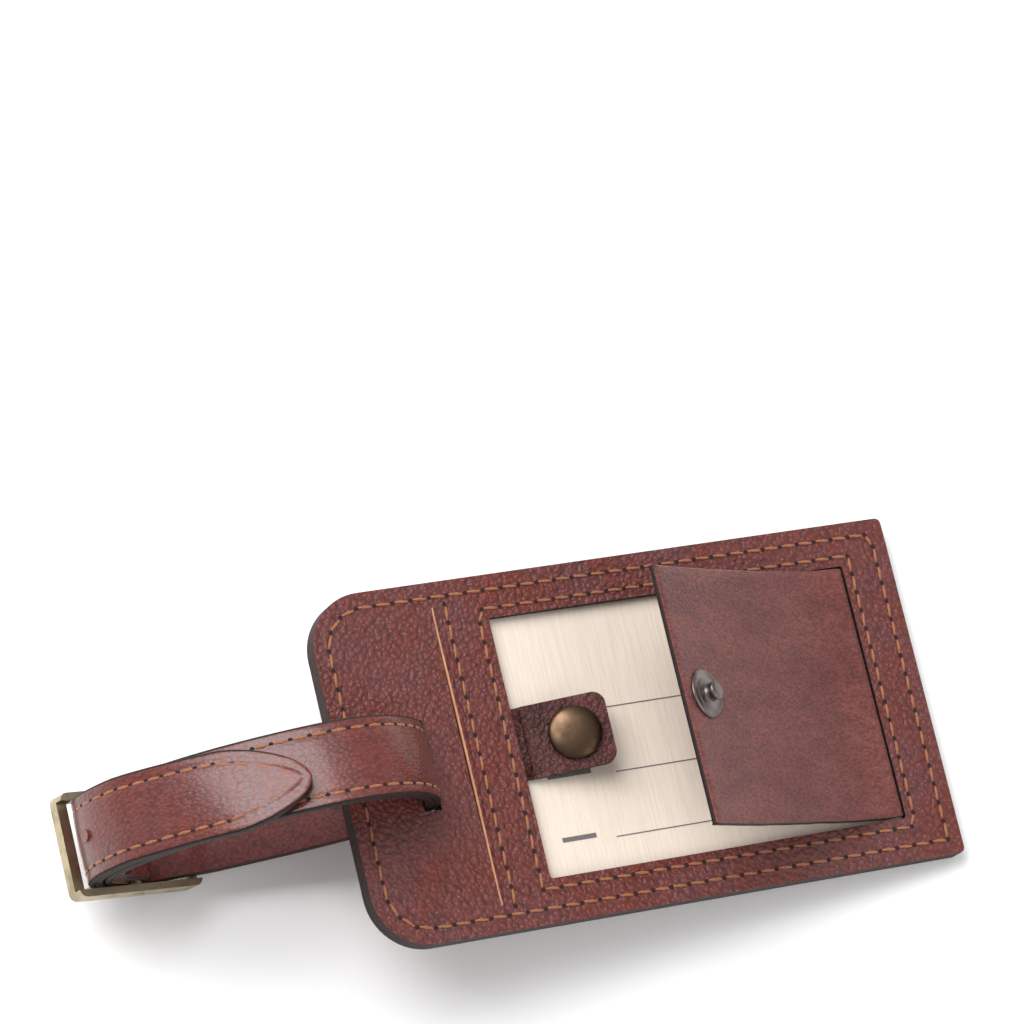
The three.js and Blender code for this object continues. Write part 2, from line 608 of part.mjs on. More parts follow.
const luggageTag = new THREE.Group();
tag.rotation.y = restTilt;
luggageTag.add(tag);
luggageTag.updateMatrixWorld(true);
const extent = new THREE.Box3().setFromObject(luggageTag, true);
const middle = extent.getCenter(new THREE.Vector3());
tag.position.set(-middle.x, -middle.y, -extent.min.z);

export default luggageTag;
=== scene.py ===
"""Leather luggage tag: stitched panel, card window, snap flap and buckled strap, dressed over the CAD frame."""

import json
import math

import bmesh
import bpy
from bpy.props import FloatProperty, FloatVectorProperty, PointerProperty
from bpy.types import Operator, Panel, PropertyGroup
from mathutils import Matrix, Vector, noise


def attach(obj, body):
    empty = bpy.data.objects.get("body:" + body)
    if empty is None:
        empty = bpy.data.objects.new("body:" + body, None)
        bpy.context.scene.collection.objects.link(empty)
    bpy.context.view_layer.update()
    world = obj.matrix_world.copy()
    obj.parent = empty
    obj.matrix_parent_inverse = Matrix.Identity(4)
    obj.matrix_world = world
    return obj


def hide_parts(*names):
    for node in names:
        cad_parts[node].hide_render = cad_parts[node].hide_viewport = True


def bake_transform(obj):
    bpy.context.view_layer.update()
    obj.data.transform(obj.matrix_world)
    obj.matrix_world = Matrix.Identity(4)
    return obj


bl_info = {
    "name": "Luggage Tag",
    "version": (1, 0, 0),
    "blender": (4, 5, 0),
    "location": "View3D > Sidebar > Luggage Tag",
    "description": "Builds the leather, stitching, card and hardware of a luggage tag",
    "category": "Add Mesh",
}

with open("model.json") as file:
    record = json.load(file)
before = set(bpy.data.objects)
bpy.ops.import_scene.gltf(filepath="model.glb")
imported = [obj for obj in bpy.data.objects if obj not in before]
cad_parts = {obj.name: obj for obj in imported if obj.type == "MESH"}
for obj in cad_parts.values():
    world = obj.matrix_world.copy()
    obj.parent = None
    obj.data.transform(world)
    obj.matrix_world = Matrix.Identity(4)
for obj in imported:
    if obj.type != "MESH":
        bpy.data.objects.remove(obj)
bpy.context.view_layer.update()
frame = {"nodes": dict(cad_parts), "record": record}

# ---- the tag's own frame: millimetres, x from the strap end, y across, z = 0 on the front leather ----------

TAG_LENGTH = 122
TAG_HALF_WIDTH = 34
PANEL_THICKNESS = 3.95
STRAP_END_RADIUS = 11
SEAM_INSET = 3
WINDOW_LEFT = 36
WINDOW_SEAM = (34, 113.1)
WINDOW_SEAM_HALF = 27.35
SLIT_X = 25.1
SLIT_HALF_LENGTH = 29
SLIT_SEAM_X = 27.8
CARD_TOP = -2.0

STRAP_CENTRE_Y = -0.6
STRAP_HALF_WIDTH = 8
STRAP_HALF_THICKNESS = 1.3
STRAP_SEAM = 5.9
PLY_GAP = 0.06
LAYER_GAP = 0.45
SLOT_X = 16.2
LEAN = 0.2
TIP_HINGE_AT = (-38.5, -7.5)
TIP_END_AT = (-11.5, 14.3)
SPARE_HOLE_AT = (-41.4, -15.5)
TIP_SIDESTEP = -2
TIP_BEND_REACH = 5
POINT_LENGTH = 15

FLAP_HALF_WIDTH = 25.2
FLAP_THICKNESS = 1.4
FLAP_ROOT_THICKNESS = 0.5
FLAP_FOLD_GAP = 0.4
STUD_FROM_FREE_EDGE = 7

TAB_HINGE = (37, 0.7, -1.15)
TAB_HALF_WIDTH = 7
TAB_REST_ANGLE = 16
TAB_THICKNESS = 1.3
TAB_ROOT_THICKNESS = 0.7
SNAP_X = 10.3

BUCKLE_CENTRE = (-34.4, -26.6)
BUCKLE_ANGLE = 16
FOLD_RADIUS = 1.3

BACK_MOUNT = frame["record"]["mounts"][0]
BACK_SPOT = Vector((0.061, 0, -PANEL_THICKNESS * 0.001))
TILT = math.atan2(-BACK_MOUNT["axis"][0], -BACK_MOUNT["axis"][2])
TURN = Matrix.Rotation(TILT, 4, "Y")
TAG = Matrix.Translation(Vector(BACK_MOUNT["pos_m"]) - TURN @ BACK_SPOT) @ TURN @ Matrix.Scale(0.001, 4)


# ---- settings ----------------------------------------------------------------------------------------------


def colour(name, description, default):
    return FloatVectorProperty(
        name=name, description=description, default=default, size=3, min=0, max=1, subtype="COLOR"
    )


class TagSizes(PropertyGroup):
    stitch_pitch: FloatProperty(
        name="Stitch pitch", description="Distance between stitch holes, in mm", default=3.7, min=2
    )
    stitch_width: FloatProperty(
        name="Thread width", description="Width of the sewing thread, in mm", default=0.58, min=0.2
    )
    stitch_height: FloatProperty(
        name="Thread height", description="How far a stitch stands up, in mm", default=0.34, min=0.1
    )
    edge_round: FloatProperty(
        name="Edge round", description="Rounding of the leather's edges, in mm", default=0.4, min=0.05
    )
    crown: FloatProperty(name="Strap crown", description="Fullness of the strap's face, in mm", default=0.22, min=0)


class TagColours(PropertyGroup):
    leather: colour("Leather", "Base colour of the panel and strap", (0.150, 0.038, 0.035))
    burnish: colour("Burnish", "Redder colour where the leather is rubbed", (0.165, 0.026, 0.016))
    # painted light: a lighter copy of the panel leather's colour, standing for how light falls on the flap's face
    lit_flap_leather: colour("Flap leather", "Colour of the flap's smoother face", (0.205, 0.060, 0.050))
    dark: colour("Dark leather", "Colour of the snap tab", (0.050, 0.009, 0.006))
    edge: colour("Edge paint", "Painted leather edges", (0.020, 0.012, 0.011))
    raw: colour("Raw leather", "Cut leather and lining", (0.55, 0.27, 0.14))
    thread: colour("Thread", "Sewing thread", (0.34, 0.115, 0.038))
    card: colour("Card", "Address card", (0.76, 0.65, 0.54))
    ink: colour("Ink", "Ruled lines on the card", (0.06, 0.045, 0.04))
    bronze: colour("Bronze", "Snap cap", (0.11, 0.068, 0.042))
    gunmetal: colour("Gunmetal", "Stud and socket", (0.20, 0.17, 0.16))
    brass: colour("Brass", "Buckle", (0.50, 0.42, 0.28))


class TagStage(PropertyGroup):
    floor: colour("Floor", "Colour of the floor", (0.97, 0.97, 0.97))
    key: FloatProperty(name="Key light", description="Power of the main light, in watts", default=14, min=0)
    fill: FloatProperty(name="Fill light", description="Power of the fill light, in watts", default=3, min=0)
    sky: FloatProperty(name="Sky", description="Strength of the even light all round", default=0.5, min=0)


def sizes():
    return bpy.context.scene.tag_sizes


def colours():
    return bpy.context.scene.tag_colours


# ---- materials ---------------------------------------------------------------------------------------------


def new_material(name, base, roughness, metallic=0, **sockets):
    """A material whose shader has these plain values, with its nodes, links and shader for more."""
    material = bpy.data.materials.new(name)
    material.use_nodes = True
    shader = material.node_tree.nodes["Principled BSDF"]
    shader.inputs["Base Color"].default_value = (*base, 1)
    shader.inputs["Roughness"].default_value = roughness
    shader.inputs["Metallic"].default_value = metallic
    for socket, value in sockets.items():
        shader.inputs[socket.replace("_", " ")].default_value = value
    return material, shader


class Wiring:
    """Short names for making and joining the nodes of one material. Places in a pattern are in millimetres."""

    def __init__(self, material, stretch=(1, 1, 1)):
        self.tree = material.node_tree
        place = self.node("ShaderNodeTexCoord").outputs["Object"]
        mapping = self.node("ShaderNodeMapping")
        mapping.inputs["Rotation"].default_value = (0, -TILT, 0)
        self.join(place, mapping.inputs["Vector"])
        scale = self.node("ShaderNodeMapping")
        scale.inputs["Scale"].default_value = tuple(1000 * s for s in stretch)
        self.join(mapping.outputs["Vector"], scale.inputs["Vector"])
        self.place = scale.outputs["Vector"]

    def node(self, kind):
        return self.tree.nodes.new(kind)

    def join(self, source, target):
        self.tree.links.new(source, target)

    def noise(self, size, detail=4, roughness=0.55, place=None):
        node = self.node("ShaderNodeTexNoise")
        node.inputs["Scale"].default_value = 1 / size
        node.inputs["Detail"].default_value = detail
        node.inputs["Roughness"].default_value = roughness
        self.join(place or self.place, node.inputs["Vector"])
        return node.outputs["Fac"]

    def pebbles(self, size, warp):
        """Distance to the creases between rounded cells, bent out of line by a noise."""
        wobble = self.node("ShaderNodeTexNoise")
        wobble.inputs["Scale"].default_value = 0.6 / size
        self.join(self.place, wobble.inputs["Vector"])
        moved = self.node("ShaderNodeVectorMath")
        moved.operation = "MULTIPLY_ADD"
        self.join(wobble.outputs["Color"], moved.inputs[0])
        moved.inputs[1].default_value = (warp, warp, warp)
        self.join(self.place, moved.inputs[2])
        cells = self.node("ShaderNodeTexVoronoi")
        cells.feature = "SMOOTH_F1"
        cells.inputs["Scale"].default_value = 1 / size
        cells.inputs["Smoothness"].default_value = 0.35
        self.join(moved.outputs["Vector"], cells.inputs["Vector"])
        return cells.outputs["Distance"]

    def ramp(self, value, *stops):
        node = self.node("ShaderNodeValToRGB")
        elements = node.color_ramp.elements
        while len(elements) < len(stops):
            elements.new(0.5)
        for element, (at, tone) in zip(elements, stops):
            element.position = at
            element.color = (tone, tone, tone, 1) if isinstance(tone, (int, float)) else (*tone, 1)
        self.join(value, node.inputs["Fac"])
        return node.outputs["Color"]

    def mix(self, share, low, high, blend="MIX"):
        node = self.node("ShaderNodeMix")
        node.data_type = "RGBA"
        node.blend_type = blend
        for socket, value in ((node.inputs[0], share), (node.inputs[6], low), (node.inputs[7], high)):
            if isinstance(value, bpy.types.NodeSocket):
                self.join(value, socket)
            elif isinstance(value, (int, float)):
                socket.default_value = value
            else:
                socket.default_value = (*value, 1)
        return node.outputs[2]

    def sum(self, *weighted):
        total = None
        for value, weight in weighted:
            node = self.node("ShaderNodeMath")
            node.operation = "MULTIPLY_ADD"
            self.join(value, node.inputs[0])
            node.inputs[1].default_value = weight
            node.inputs[2].default_value = 0
            if total:
                self.join(total, node.inputs[2])
            total = node.outputs[0]
        return total

    def bump(self, height, depth, shader, strength=1.0):
        """Relief whose height of 1 stands this many millimetres up."""
        node = self.node("ShaderNodeBump")
        node.inputs["Strength"].default_value = strength
        node.inputs["Distance"].default_value = depth * 0.001
        self.join(height, node.inputs["Height"])
        self.join(node.outputs["Normal"], shader.inputs["Normal"])


def leather(name, base, burnish, grain, depth, roughness=0.42, stretch=(1, 1, 1), coat=0.35):
    """Creased, burnished leather: rounded pebbles, finer pores, painted shade in the creases and fold hollows, and
    painted light on the raised pebbles and folds.
    """
    material, shader = new_material(
        name, base, roughness, Coat_Weight=coat, Coat_Roughness=0.24, Sheen_Weight=0.05, Sheen_Roughness=0.35
    )
    shader.inputs["Specular IOR Level"].default_value = 0.3
    shader.inputs["Sheen Tint"].default_value = (0.85, 0.62, 0.72, 1)
    wiring = Wiring(material, stretch)
    pebbles = wiring.pebbles(grain, grain * 1.3)
    pores = wiring.noise(grain * 0.3, 3)
    folds = wiring.noise(grain * 3.2, 4, 0.6)
    patches = wiring.noise(13, 3)
    shade = wiring.mix(wiring.ramp(patches, (0.38, 0), (0.66, 1)), base, burnish)
    # painted shade: the colour darkens in the creases between the pebbles and lightens a little on the raised pebbles
    crease_painted_shade = wiring.ramp(pebbles, (0.2, 1.06), (0.75, 0.62))
    shade = wiring.mix(1.0, shade, crease_painted_shade, "MULTIPLY")
    # painted light and shade: the colour follows the fold relief, darker in the fold hollows and lighter on the
    # raised folds
    shade = wiring.mix(0.35, shade, wiring.ramp(folds, (0.3, 0.55), (0.7, 1.25)), "MULTIPLY")
    wiring.join(shade, shader.inputs["Base Color"])
    wiring.join(
        wiring.ramp(wiring.sum((pores, 0.5), (folds, 0.5)), (0.35, roughness - 0.08), (0.65, roughness + 0.12)),
        shader.inputs["Roughness"],
    )
    wiring.bump(wiring.sum((pebbles, -1.0), (folds, 0.9), (pores, 0.22)), depth, shader)
    return material


def edge_paint(name, base):
    material, shader = new_material(name, base, 0.62)
    shader.inputs["Specular IOR Level"].default_value = 0.2
    wiring = Wiring(material)
    grain = wiring.noise(0.5, 3)
    shade = wiring.mix(wiring.ramp(grain, (0.4, 0), (0.7, 1)), base, [c * 1.7 for c in base])
    wiring.join(shade, shader.inputs["Base Color"])
    wiring.bump(grain, 0.08, shader)
    return material


def fibres(name, base, stretch, depth=0.08):
    """Raw leather or card edge: fine fibres drawn out along one direction."""
    material, shader = new_material(name, base, 0.85)
    wiring = Wiring(material, stretch)
    strands = wiring.noise(0.35, 5, 0.7)
    dark, light = [c * 0.6 for c in base], [min(1, c * 1.2) for c in base]
    shade = wiring.mix(wiring.ramp(strands, (0.3, 0), (0.7, 1)), dark, light)
    wiring.join(shade, shader.inputs["Base Color"])
    wiring.bump(strands, depth, shader)
    return material


def thread_finish():
    base = tuple(colours().thread)
    material, shader = new_material("waxed_thread", base, 0.55, Sheen_Weight=0.25)
    wiring = Wiring(material)
    fuzz = wiring.noise(0.25, 3)
    dark, light = [c * 0.55 for c in base], [min(1, c * 1.3) for c in base]
    shade = wiring.mix(wiring.ramp(fuzz, (0.35, 0), (0.7, 1)), dark, light)
    wiring.join(shade, shader.inputs["Base Color"])
    wiring.bump(fuzz, 0.06, shader)
    return material


def aged_metal(name, base, tarnish, roughness=0.32):
    """Plated metal whose rubbed places are bright and whose hollows are tarnished."""
    material, shader = new_material(name, base, roughness, 1.0)
    wiring = Wiring(material)
    blotches = wiring.noise(3.5, 5, 0.55)
    scratches = wiring.noise(0.22, 2)
    share = wiring.ramp(blotches, (0.3, 0.7), (0.6, 0))
    wiring.join(wiring.mix(share, base, tarnish), shader.inputs["Base Color"])
    wiring.join(wiring.ramp(blotches, (0.3, roughness + 0.18), (0.7, roughness - 0.06)), shader.inputs["Roughness"])
    wiring.bump(wiring.sum((scratches, 0.5), (blotches, 0.3)), 0.02, shader)
    return material


_finishes = {}


def finish(name):
    """The named finish, made once from the settings."""
    if name not in _finishes:
        c = colours()
        makers = {
            "panel_leather": lambda: leather("panel_leather", c.leather, c.burnish, 0.95, 0.5, 0.34, (1, 1, 1), 0.5),
            "strap_leather": lambda: leather(
                "strap_leather", c.burnish, c.leather, 0.9, 0.16, 0.34, (1, 1.6, 1), 0.55
            ),
            # the flap's lighter base colour is painted light on the panel's leather
            "flap_leather": lambda: leather("flap_leather", c.lit_flap_leather, c.leather, 0.9, 0.2, 0.46, (1, 1.8, 1), 0.15),
            "tab_leather": lambda: leather("tab_leather", c.dark, c.leather, 0.75, 0.4, 0.38, (1, 1, 1), 0.12),
            "lining": lambda: leather(
                "lining", [v * 0.8 for v in c.leather], c.leather, 0.7, 0.1, 0.62, (1, 1, 1), 0.0
            ),
            "edge_paint": lambda: edge_paint("edge_paint", c.edge),
            "raw_leather": lambda: fibres("raw_leather", c.raw, (1, 0.2, 1)),
            "filler_board": lambda: fibres("filler_board", [v * 0.5 for v in c.raw], (0.3, 0.3, 1)),
            "thread": thread_finish,
            # needle holes: a near-black colour painted as the shade inside the holes
            "painted_hole_shade": lambda: new_material("painted_hole_shade", [v * 0.12 for v in c.leather], 0.9)[0],
            "bronze": lambda: aged_metal("bronze", c.bronze, [v * 0.4 for v in c.bronze], 0.3),
            "gunmetal": lambda: aged_metal("gunmetal", c.gunmetal, [v * 0.4 for v in c.gunmetal], 0.3),
            "brass": lambda: aged_metal("brass", c.brass, [v * 0.4 for v in c.brass], 0.34),
            "ink": lambda: new_material("ink", c.ink, 0.7)[0],
            "card_stock": card_stock,
            "clear_film": clear_film,
        }
        _finishes[name] = makers[name]()
    return _finishes[name]


def card_stock():
    base = tuple(colours().card)
    material, shader = new_material("card_stock", base, 0.75)
    wiring = Wiring(material, (1, 0.03, 1))
    laid = wiring.noise(0.35, 2)
    dark, light = [v * 0.93 for v in base], [min(1, v * 1.04) for v in base]
    shade = wiring.mix(wiring.ramp(laid, (0.35, 0), (0.65, 1)), dark, light)
    wiring.join(shade, shader.inputs["Base Color"])
    wiring.bump(laid, 0.02, shader)
    return material


def clear_film():
    material, shader = new_material("clear_film", (1, 1, 1), 0.06, Alpha=0.05, IOR=1.45)
    shader.inputs["Specular IOR Level"].default_value = 1.0
    wiring = Wiring(material)
    wiring.bump(wiring.noise(16, 2), 0.5, shader)
    material.surface_render_method = "BLENDED"
    return material


# ---- mesh helpers ------------------------------------------------------------------------------------------


def piece(name, mesh_data, finishes, body, *replaced, smooth=True):
    """A new piece from a bmesh in world metres, with its finishes, riding on a body unless that is None."""
    mesh = bpy.data.meshes.new(name)
    bmesh.ops.recalc_face_normals(mesh_data, faces=mesh_data.faces)
    mesh_data.to_mesh(mesh)
    mesh_data.free()
    for polygon in mesh.polygons:
        polygon.use_smooth = smooth
    for item in finishes:
        mesh.materials.append(finish(item))
    made = bpy.data.objects.new(name, mesh)
    bpy.context.scene.collection.objects.link(made)
    if replaced:
        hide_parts(*replaced)
    if body:
        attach(made, body)
    return made


def modifier(made, kind, **values):
    added = made.modifiers.new(kind.title(), kind)
    for key, value in values.items():
        setattr(added, key, value)
    return added


def rounded(made, width, segments=3, angle=35):
    """Rounds the sharp edges of a piece, width in millimetres, and keeps its flats flat."""
    modifier(made, "BEVEL", width=width * 0.001, segments=segments, limit_method="ANGLE",
             angle_limit=math.radians(angle), harden_normals=False, use_clamp_overlap=True)
    modifier(made, "WEIGHTED_NORMAL", keep_sharp=False)


def dressed(name, node, body, finishes, sort=None, shape=None):
    """A copy of a CAD node's mesh as a new piece. `sort` picks a finish for a face, `shape` moves its points."""
    data = bmesh.new()
    data.from_mesh(frame["nodes"][node].data)
    bmesh.ops.remove_doubles(data, verts=data.verts, dist=2e-6)
    bmesh.ops.dissolve_limit(data, angle_limit=math.radians(0.5), verts=data.verts, edges=data.edges)
    back = TAG.inverted()
    if shape:
        for vert in data.verts:
            vert.co = TAG @ shape(back @ vert.co)
    if sort:
        for face in data.faces:
            face.material_index = sort(back @ face.calc_center_median(), (face.normal @ TURN.to_3x3()))
    return piece(name, data, finishes, body, node)


class Curve:
    """A centripetal Catmull-Rom curve through points in the xz plane, read by its length in millimetres."""

    def __init__(self, points, steps=14):
        ends = [points[0] * 2 - points[1], *points, points[-1] * 2 - points[-2]]
        self.points = []
        for i in range(1, len(ends) - 2):
            self.points += [self.between(ends[i - 1:i + 3], k / steps) for k in range(steps)]
        self.points.append(points[-1])
        self.lengths = [0.0]
        for a, b in zip(self.points, self.points[1:]):
            self.lengths.append(self.lengths[-1] + (b - a).length)
        self.length = self.lengths[-1]

    @staticmethod
    def between(four, share):
        knots = [0.0]
        for a, b in zip(four, four[1:]):
            knots.append(knots[-1] + max(1e-6, (b - a).length ** 0.5))
        at = knots[1] + (knots[2] - knots[1]) * share
        row = list(four)
        for level in (1, 2):
            row = [
                row[i].lerp(row[i + 1], (at - knots[i if level == 1 else i]) / (knots[i + level] - knots[i]))
                if level == 1 else
                row[i].lerp(row[i + 1], (at - knots[i]) / (knots[i + 2] - knots[i]))
                for i in range(len(row) - 1)
            ]
        return row[0].lerp(row[1], (at - knots[1]) / (knots[2] - knots[1]))

    def at(self, distance):
        """(point, unit tangent, unit normal on the left) at this distance along the curve."""
        distance = min(max(distance, 0.0), self.length)
        low, high = 0, len(self.lengths) - 1
        while high - low > 1:
            middle = (low + high) // 2
            if self.lengths[middle] <= distance:
                low = middle
            else:
                high = middle
        share = (distance - self.lengths[low]) / max(1e-9, self.lengths[high] - self.lengths[low])
        point = self.points[low].lerp(self.points[high], share)
        ahead = self.points[min(high + 1, len(self.points) - 1)] - self.points[max(low - 1, 0)]
        ahead.normalize()
        return point, ahead, Vector((-ahead.y, ahead.x))

    def nearest(self, place):
        best = min(range(len(self.points)), key=lambda i: (self.points[i] - place).length)
        return self.lengths[best]


def flat(points):
    return Curve([Vector(p) for p in points])


def swept(data, curve, start, end, count, ring, warp=lambda p: p, index=lambda k: 0, cap=0):
    """A closed strip along a curve. ring(t, s) lists (across, depth) round the section, t from 0 to 1."""
    rings = []
    for i in range(count + 1):
        t = i / count
        point, _, normal = curve.at(start + (end - start) * t)
        row = []
        for across, depth in ring(t):
            x, z = point + normal * depth
            row.append(data.verts.new(TAG @ warp(Vector((x, across, z)))))
        rings.append(row)
    size = len(rings[0])
    for low, high in zip(rings, rings[1:]):
        for k in range(size):
            m = (k + 1) % size
            data.faces.new((low[k], low[m], high[m], high[k])).material_index = index(k)
    data.faces.new(rings[0][::-1]).material_index = cap
    data.faces.new(rings[-1]).material_index = cap
    return rings


def smoothstep(value, low, high):
    share = min(1.0, max(0.0, (value - low) / (high - low)))
    return share * share * (3 - 2 * share)


def leaned(point):
    """The lean of the strap's loop to one side, which fades out towards the slot and the buckle."""
    share = smoothstep(point.z, -4, 14)
    return Vector((point.x, point.y, point.z - LEAN * share * (point.y - STRAP_CENTRE_Y)))


def turned(data, profile, place, segments=72, index=0):
    """A turned piece about z from (radius, height) pairs, in a frame given in millimetres."""
    rings = []
    for radius, height in profile:
        if radius < 1e-6:
            rings.append([data.verts.new(TAG @ place @ Vector((0, 0, height)))])
            continue
        angles = [2 * math.pi * k / segments for k in range(segments)]
        rings.append([
            data.verts.new(TAG @ place @ Vector((radius * math.cos(a), radius * math.sin(a), height)))
            for a in angles
        ])
    for low, high in zip(rings, rings[1:]):
        for k in range(segments):
            m = (k + 1) % segments
            corners = [low[k % len(low)], low[m % len(low)], high[m % len(high)], high[k % len(high)]]
            unique = list(dict.fromkeys(corners))
            if len(unique) > 2:
                data.faces.new(unique).material_index = index


def softened(profile, radius=0.15, steps=4):
    """The profile with its inner corners rounded."""
    out = [Vector(profile[0])]
    for before, corner, after in zip(profile, profile[1:], profile[2:]):
        before, corner, after = Vector(before), Vector(corner), Vector(after)
        reach = min(radius, (corner - before).length * 0.45, (after - corner).length * 0.45)
        first = corner + (before - corner).normalized() * reach
        last = corner + (after - corner).normalized() * reach
        for k in range(steps + 1):
            s = k / steps
            out.append(first.lerp(corner, s).lerp(corner.lerp(last, s), s))
    out.append(Vector(profile[-1]))
    return out


# ---- stitches ----------------------------------------------------------------------------------------------


def stitch(data, spot, ahead, up, length):
    """One stitch of twisted thread that dives into the leather at both ends, in tag millimetres."""
    width = sizes().stitch_width / 2
    height = sizes().stitch_height
    side = up.cross(ahead).normalized()
    rings = []
    count, around = 8, 8
    for i in range(count + 1):
        t = -1 + 2 * i / count
        swell = math.sqrt(max(0.0, 1 - abs(t) ** 3.2))
        centre = spot + ahead * (t * length / 2) + up * (height * 0.42 * (1 - t * t) - 0.06)
        row = []
        for k in range(around):
            angle = 2 * math.pi * k / around
            twist = 1 + 0.13 * math.cos(2 * angle + 5.5 * t)
            outward = side * (width * swell * twist * math.cos(angle))
            lift = up * (height * 0.62 * swell * twist * math.sin(angle))
            row.append(data.verts.new(TAG @ (centre + outward + lift)))
        rings.append(row)
    for low, high in zip(rings, rings[1:]):
        for k in range(around):
            m = (k + 1) % around
            data.faces.new((low[k], low[m], high[m], high[k]))


def needle_hole(data, spot, ahead, up, index=1):
    """The dimple that a needle leaves between two stitches, coloured dark as painted shade for the inside of the
    hole.
    """
    side = up.cross(ahead).normalized()
    rim = []
    for k in range(10):
        angle = 2 * math.pi * k / 10
        along, across = ahead * (0.48 * math.cos(angle)), side * (0.42 * math.sin(angle))
        rim.append(data.verts.new(TAG @ (spot + along + across + up * 0.035)))
    peak = data.verts.new(TAG @ (spot + up * 0.05))
    for k in range(10):
        data.faces.new((rim[k], rim[(k + 1) % 10], peak)).material_index = index


def sew(data, spots, slant=0.0):
    """Stitches and needle holes along spots of (place, ahead, up) that stand at the needle holes."""
    for place, ahead, up in spots:
        needle_hole(data, place, ahead, up)
    for (a, ahead, up), (b, _, _) in zip(spots, spots[1:]):
        along = (b - a).normalized()
        side = up.cross(along)
        stitch(data, (a + b) / 2, (along + side * slant).normalized(), up, (b - a).length - 0.62)


def seam_on_panel(points, closed=True):
    """Needle holes along a polyline on the panel's face, an even number of pitches round it."""
    places = [Vector((x, y, 0)) for x, y in points]
    if closed:
        places.append(places[0])
    lengths = [0.0]
    for a, b in zip(places, places[1:]):
        lengths.append(lengths[-1] + (b - a).length)
    count = round(lengths[-1] / sizes().stitch_pitch)
    spots = []
    k = 0
    for i in range(count + 1):
        distance = lengths[-1] * i / count
        while k < len(lengths) - 2 and lengths[k + 1] < distance:
            k += 1
        share = (distance - lengths[k]) / max(1e-9, lengths[k + 1] - lengths[k])
        ahead = (places[k + 1] - places[k]).normalized()
        spots.append((places[k].lerp(places[k + 1], share), ahead, Vector((0, 0, 1))))
    return spots


def arc(cx, cy, radius, start, end, steps=10):
    angles = [math.radians(start + (end - start) * k / steps) for k in range(steps + 1)]
    return [(cx + radius * math.cos(a), cy + radius * math.sin(a)) for a in angles]


# ---- curves of the strap and flap --------------------------------------------------------------------------

BUCKLE_ALONG = Vector((math.cos(math.radians(BUCKLE_ANGLE)), -math.sin(math.radians(BUCKLE_ANGLE))))
BUCKLE_OUT = Vector((-math.sin(math.radians(BUCKLE_ANGLE)), -math.cos(math.radians(BUCKLE_ANGLE))))


def buckle(a, o):
    """A point in the xz plane, from its places along the buckle and out of the loop."""
    return Vector(BUCKLE_CENTRE) + BUCKLE_ALONG * a + BUCKLE_OUT * o


def on_pin(turn):
    return buckle(FOLD_RADIUS * math.cos(math.radians(turn)), FOLD_RADIUS * math.sin(math.radians(turn)))


UPPER_LEG = [
    (-38.6, -25.4), (-40.4, -22.8), (-41.3, -19.4), (-41.4, -15.8), (-40.6, -12.2), (-39.1, -8.6), (-36.9, -5),
    (-34, -1.3), (-30.5, 2.6), (-26.5, 6.2), (-22, 9.4), (-17, 12.1), (-12, 14.1), (-7, 15.5), (-2, 16), (3, 14.9),
    (7.5, 12.4), (11.4, 8.9), (14.2, 5), (15.8, 1.6),
]
LOWER_LEG = [
    (SLOT_X, -2), (16, -5.5), (14.6, -9.5), (11.5, -13.6), (6.5, -17.6), (0, -21.3), (-7, -24.4), (-13.5, -26.8),
    buckle(14.6, -2), buckle(11.6, -1.6), buckle(7.8, 0.4), buckle(4.2, 2.9), buckle(2, 3.95),
]
FOLD = [on_pin(turn) for turn in range(-90, 91, 30)]
OVER_FOLD = buckle(-2.4, 0.75)
OVERLAP = 2 * STRAP_HALF_THICKNESS + LAYER_GAP
TAIL_INSIDE = -(STRAP_HALF_THICKNESS + LAYER_GAP)

upper_curve = flat([on_pin(60), on_pin(90), OVER_FOLD, *UPPER_LEG])


def beside(distance, away):
    point, _, normal = upper_curve.at(distance)
    return point + normal * away


def beside_all(start, end, count):
    return [beside(start + (end - start) * i / (count - 1), OVERLAP) for i in range(count)]


OVER_PIN = upper_curve.nearest(on_pin(90))
TIP_HINGE = upper_curve.nearest(Vector(TIP_HINGE_AT))
TIP_END = upper_curve.nearest(Vector(TIP_END_AT))
tail = [
    beside(upper_curve.length * share, TAIL_INSIDE - extra)
    for share, extra in ((0.16, 0), (0.12, 0), (0.09, 0.05))
]
FREE_START = upper_curve.nearest(Vector(UPPER_LEG[0]))
main_curve = flat([*tail, *FOLD, OVER_FOLD, *UPPER_LEG, *LOWER_LEG, *beside_all(OVER_PIN, FREE_START, 10)])
free_curve = flat(beside_all(FREE_START, TIP_END, 40))
HINGE_SHARE = free_curve.nearest(beside(TIP_HINGE, OVERLAP)) / free_curve.length
flap_curve = flat([
    (111.2, 0.05), (108, 0.55), (103, 2), (98, 4.1), (93, 6.6), (87, 9.7), (81, 13), (75, 16.4), (69.6, 19.7),
    (64.4, 23.1), (59.8, 26.3),
])
LINING_START = main_curve.nearest(Vector(UPPER_LEG[1]))
if LINING_START > main_curve.length / 2:
    LINING_START = 24


# ---- operators ---------------------------------------------------------------------------------------------


class TAG_OT_camera(Operator):
    """Place the camera above the tag, looking along its length from the strap end"""

    bl_idname = "tag.camera"
    bl_label = "Camera"

    def execute(self, context):
        data = bpy.data.cameras.new("camera")
        data.lens = 175.78
        data.sensor_width = 36
        data.clip_end = 10
        camera = bpy.data.objects.new("camera", data)
        context.scene.collection.objects.link(camera)
        right = Vector((0.910, -0.229, 0.346)).normalized()
        back = Vector((-0.395, -0.225, 0.890)).normalized()
        up = back.cross(right).normalized()
        right = up.cross(back)
        turn = Matrix((right, up, back)).transposed()
        place = TAG @ Vector((-330.27, -168.94, 847.46))
        camera.matrix_world = Matrix.Translation(place) @ (TURN.to_3x3() @ turn).to_4x4()
        context.scene.camera = camera
        return {"FINISHED"}


